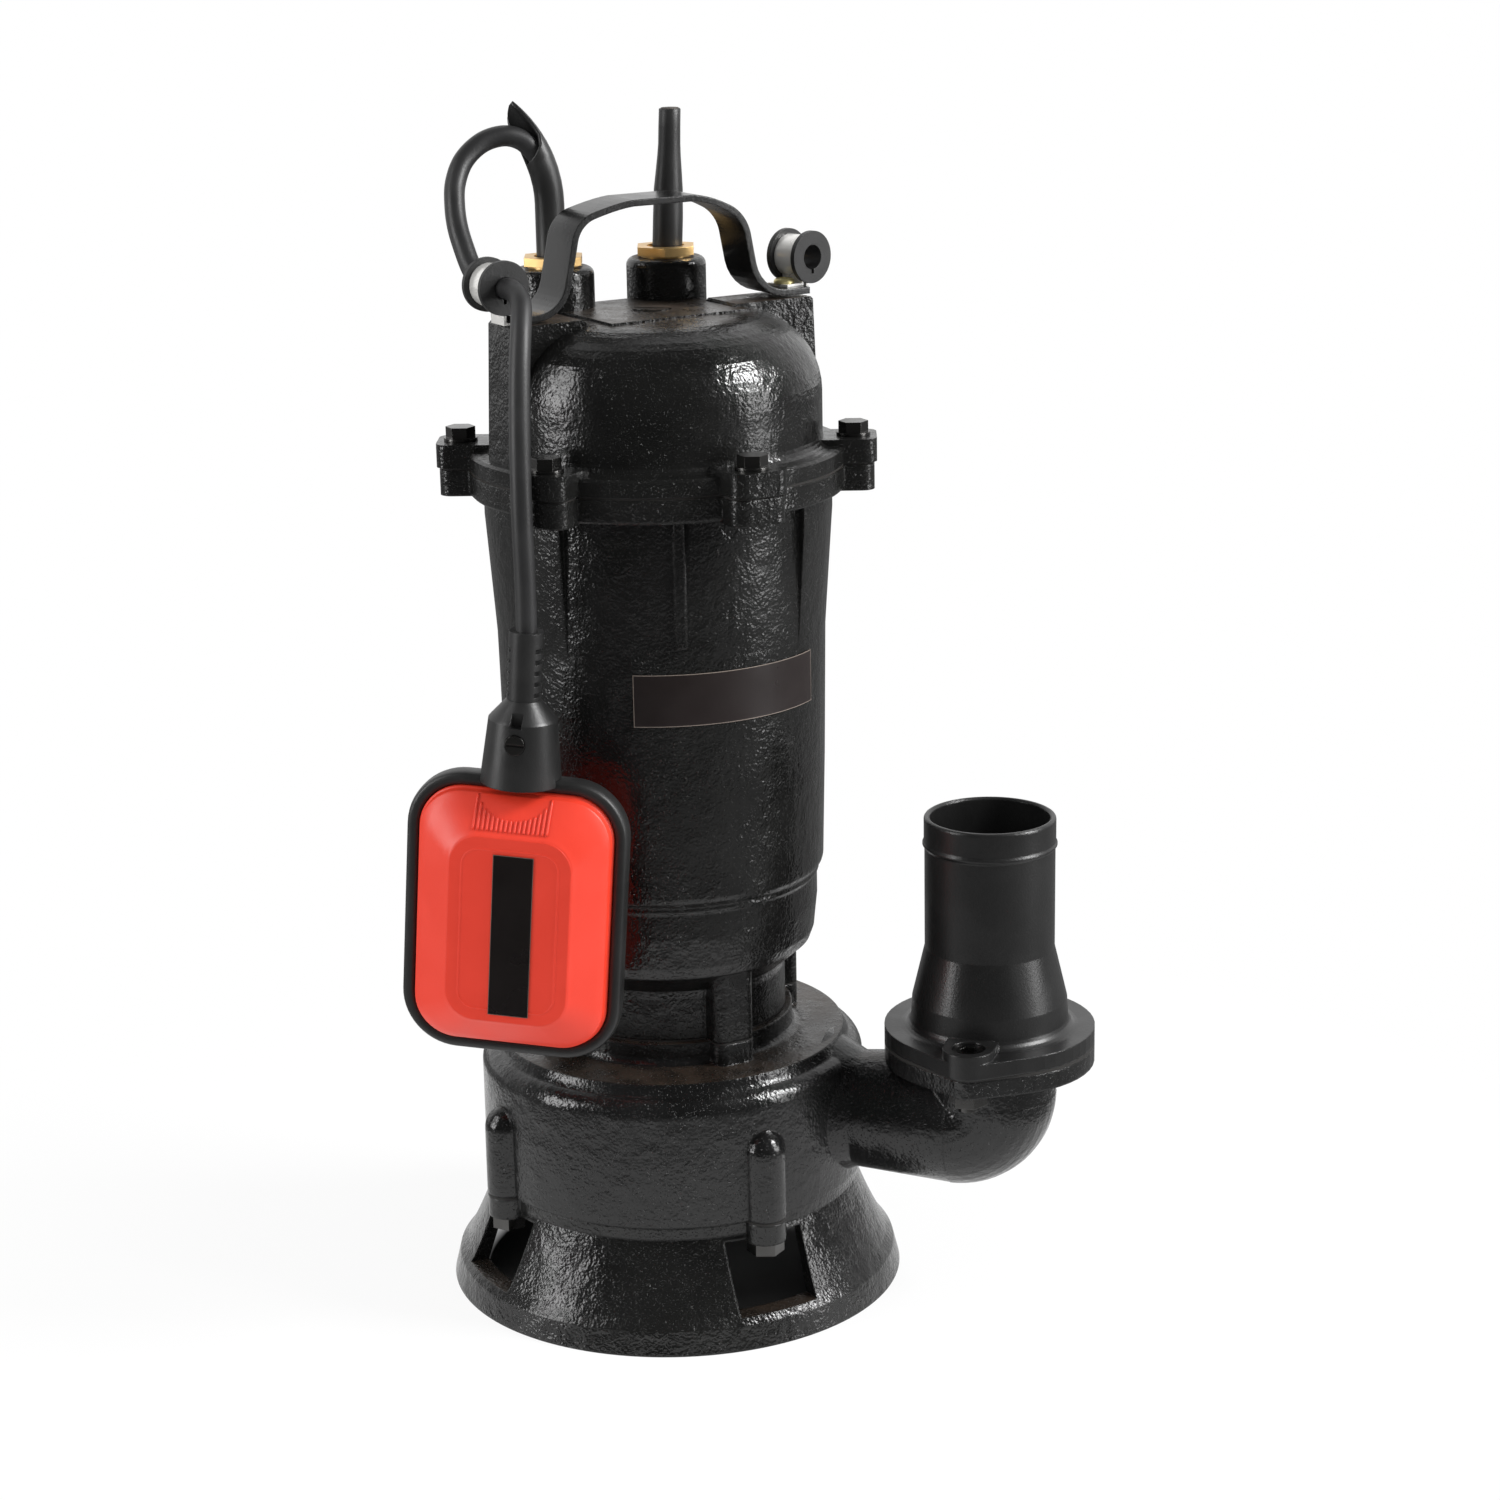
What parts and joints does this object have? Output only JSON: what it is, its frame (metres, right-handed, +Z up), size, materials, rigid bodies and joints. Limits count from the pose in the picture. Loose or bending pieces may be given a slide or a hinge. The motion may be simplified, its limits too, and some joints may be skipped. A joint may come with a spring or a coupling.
{
  "type": "submersible sump pump",
  "caption": "Black cast submersible dirty-water pump with a low suction base, a side outlet elbow with a hose spigot, a carrying handle and a red tethered float switch.",
  "frame": {"origin": "centre of the suction base's underside, on the pump's axis", "axes": "+Z up along the motor's axis, +X from the axis towards the outlet's spigot"},
  "size_m": [0.2652, 0.2007, 0.4728],
  "materials": {
    "black_paint": "gloss paint over rough casting",
    "casing_paint": "semi-gloss paint over casting",
    "handle_paint": "gloss",
    "black_steel": "black oxide, satin",
    "bright_steel": "satin",
    "yellow_zinc": "yellow zinc plate",
    "core_steel": "bare stamped sheet",
    "bare_metal": "as cast",
    "brass": "machined",
    "copper": "varnished copper wire",
    "ceramic": "ground ceramic",
    "gasket": "matt",
    "black_rubber": "matt",
    "cord_rubber": "matt",
    "black_plastic": "satin",
    "red_plastic": "satin",
    "pale_plastic": "matt",
    "impeller_iron": "as cast"
  },
  "bodies": {
    "pump": {"suction_base": "black_paint", "base_bolts": "black_steel", "casing_gasket": "gasket", "volute_casing": "casing_paint", "outlet_gasket": "gasket", "outlet_spigot": "casing_paint", "flange_bolts": "black_steel", "flange_nuts": "black_steel", "seam_gasket": "gasket", "casing_screws": "bright_steel", "motor_housing": "black_paint", "cover_gasket": "gasket", "top_cover": "black_paint", "cover_bolts": "black_steel", "cover_plug": "bare_metal", "gland_nuts": "brass", "gland_seals": "black_rubber", "supply_sleeve": "black_rubber", "float_sleeve": "black_rubber", "supply_cord": "cord_rubber", "float_cord_loop": "cord_rubber", "handle": "handle_paint", "handle_screws": "yellow_zinc", "clip_bands": "bright_steel", "clip_grommets": "black_rubber", "stator_core": "core_steel", "stator_windings": "copper", "start_capacitor": "bare_metal", "bearing_bracket": "bare_metal", "bearing_outer_rings": "bright_steel", "seal_seat": "ceramic", "lip_seal": "black_rubber"},
    "rotor": {"shaft": "bright_steel", "rotor_core": "core_steel", "rotor_end_rings": "bare_metal", "impeller": "impeller_iron", "impeller_key": "bright_steel", "impeller_nut": "brass", "seal_head": "black_rubber", "bearing_inner_rings": "bright_steel"},
    "lower_cage": {"lower_balls": "bright_steel", "lower_ball_cage": "brass"},
    "upper_cage": {"upper_balls": "bright_steel", "upper_ball_cage": "brass"},
    "float": {"float_cord_drop": "cord_rubber", "float_relief": "black_rubber", "float_collar": "black_plastic", "collar_screw": "black_steel", "float_front_shell": "red_plastic", "float_back_shell": "red_plastic", "float_rim": "black_plastic", "switch_tube": "pale_plastic", "micro_switch": "black_plastic"},
    "switch_ball": {"switch_ball": "bright_steel"}
  },
  "joints": [
    {"name": "rotor_spin", "type": "hinge", "parent": "pump", "child": "rotor", "pos_m": [0, 0, 0.2], "axis": [0, 0, 1], "continuous": true},
    {"name": "lower_cage_spin", "type": "hinge", "parent": "pump", "child": "lower_cage", "pos_m": [0, 0, 0.141], "axis": [0, 0, 1], "continuous": true},
    {"name": "upper_cage_spin", "type": "hinge", "parent": "pump", "child": "upper_cage", "pos_m": [0, 0, 0.297], "axis": [0, 0, 1], "continuous": true},
    {"name": "float_swing", "type": "hinge", "parent": "pump", "child": "float", "pos_m": [-0.0402, -0.05426, 0.4098], "axis": [-0.7314, 0.682, 0], "range_deg": [0, 110]},
    {"name": "switch_ball_slide", "type": "slide", "parent": "float", "child": "switch_ball", "axis": [0.0727, 0.0089, 0.9973], "range_m": [0, 0.018]}
  ],
  "couplings": [
    {"joint": "lower_cage_spin", "follows": "rotor_spin", "ratio": 0.3815},
    {"joint": "upper_cage_spin", "follows": "rotor_spin", "ratio": 0.3818}
  ]
}
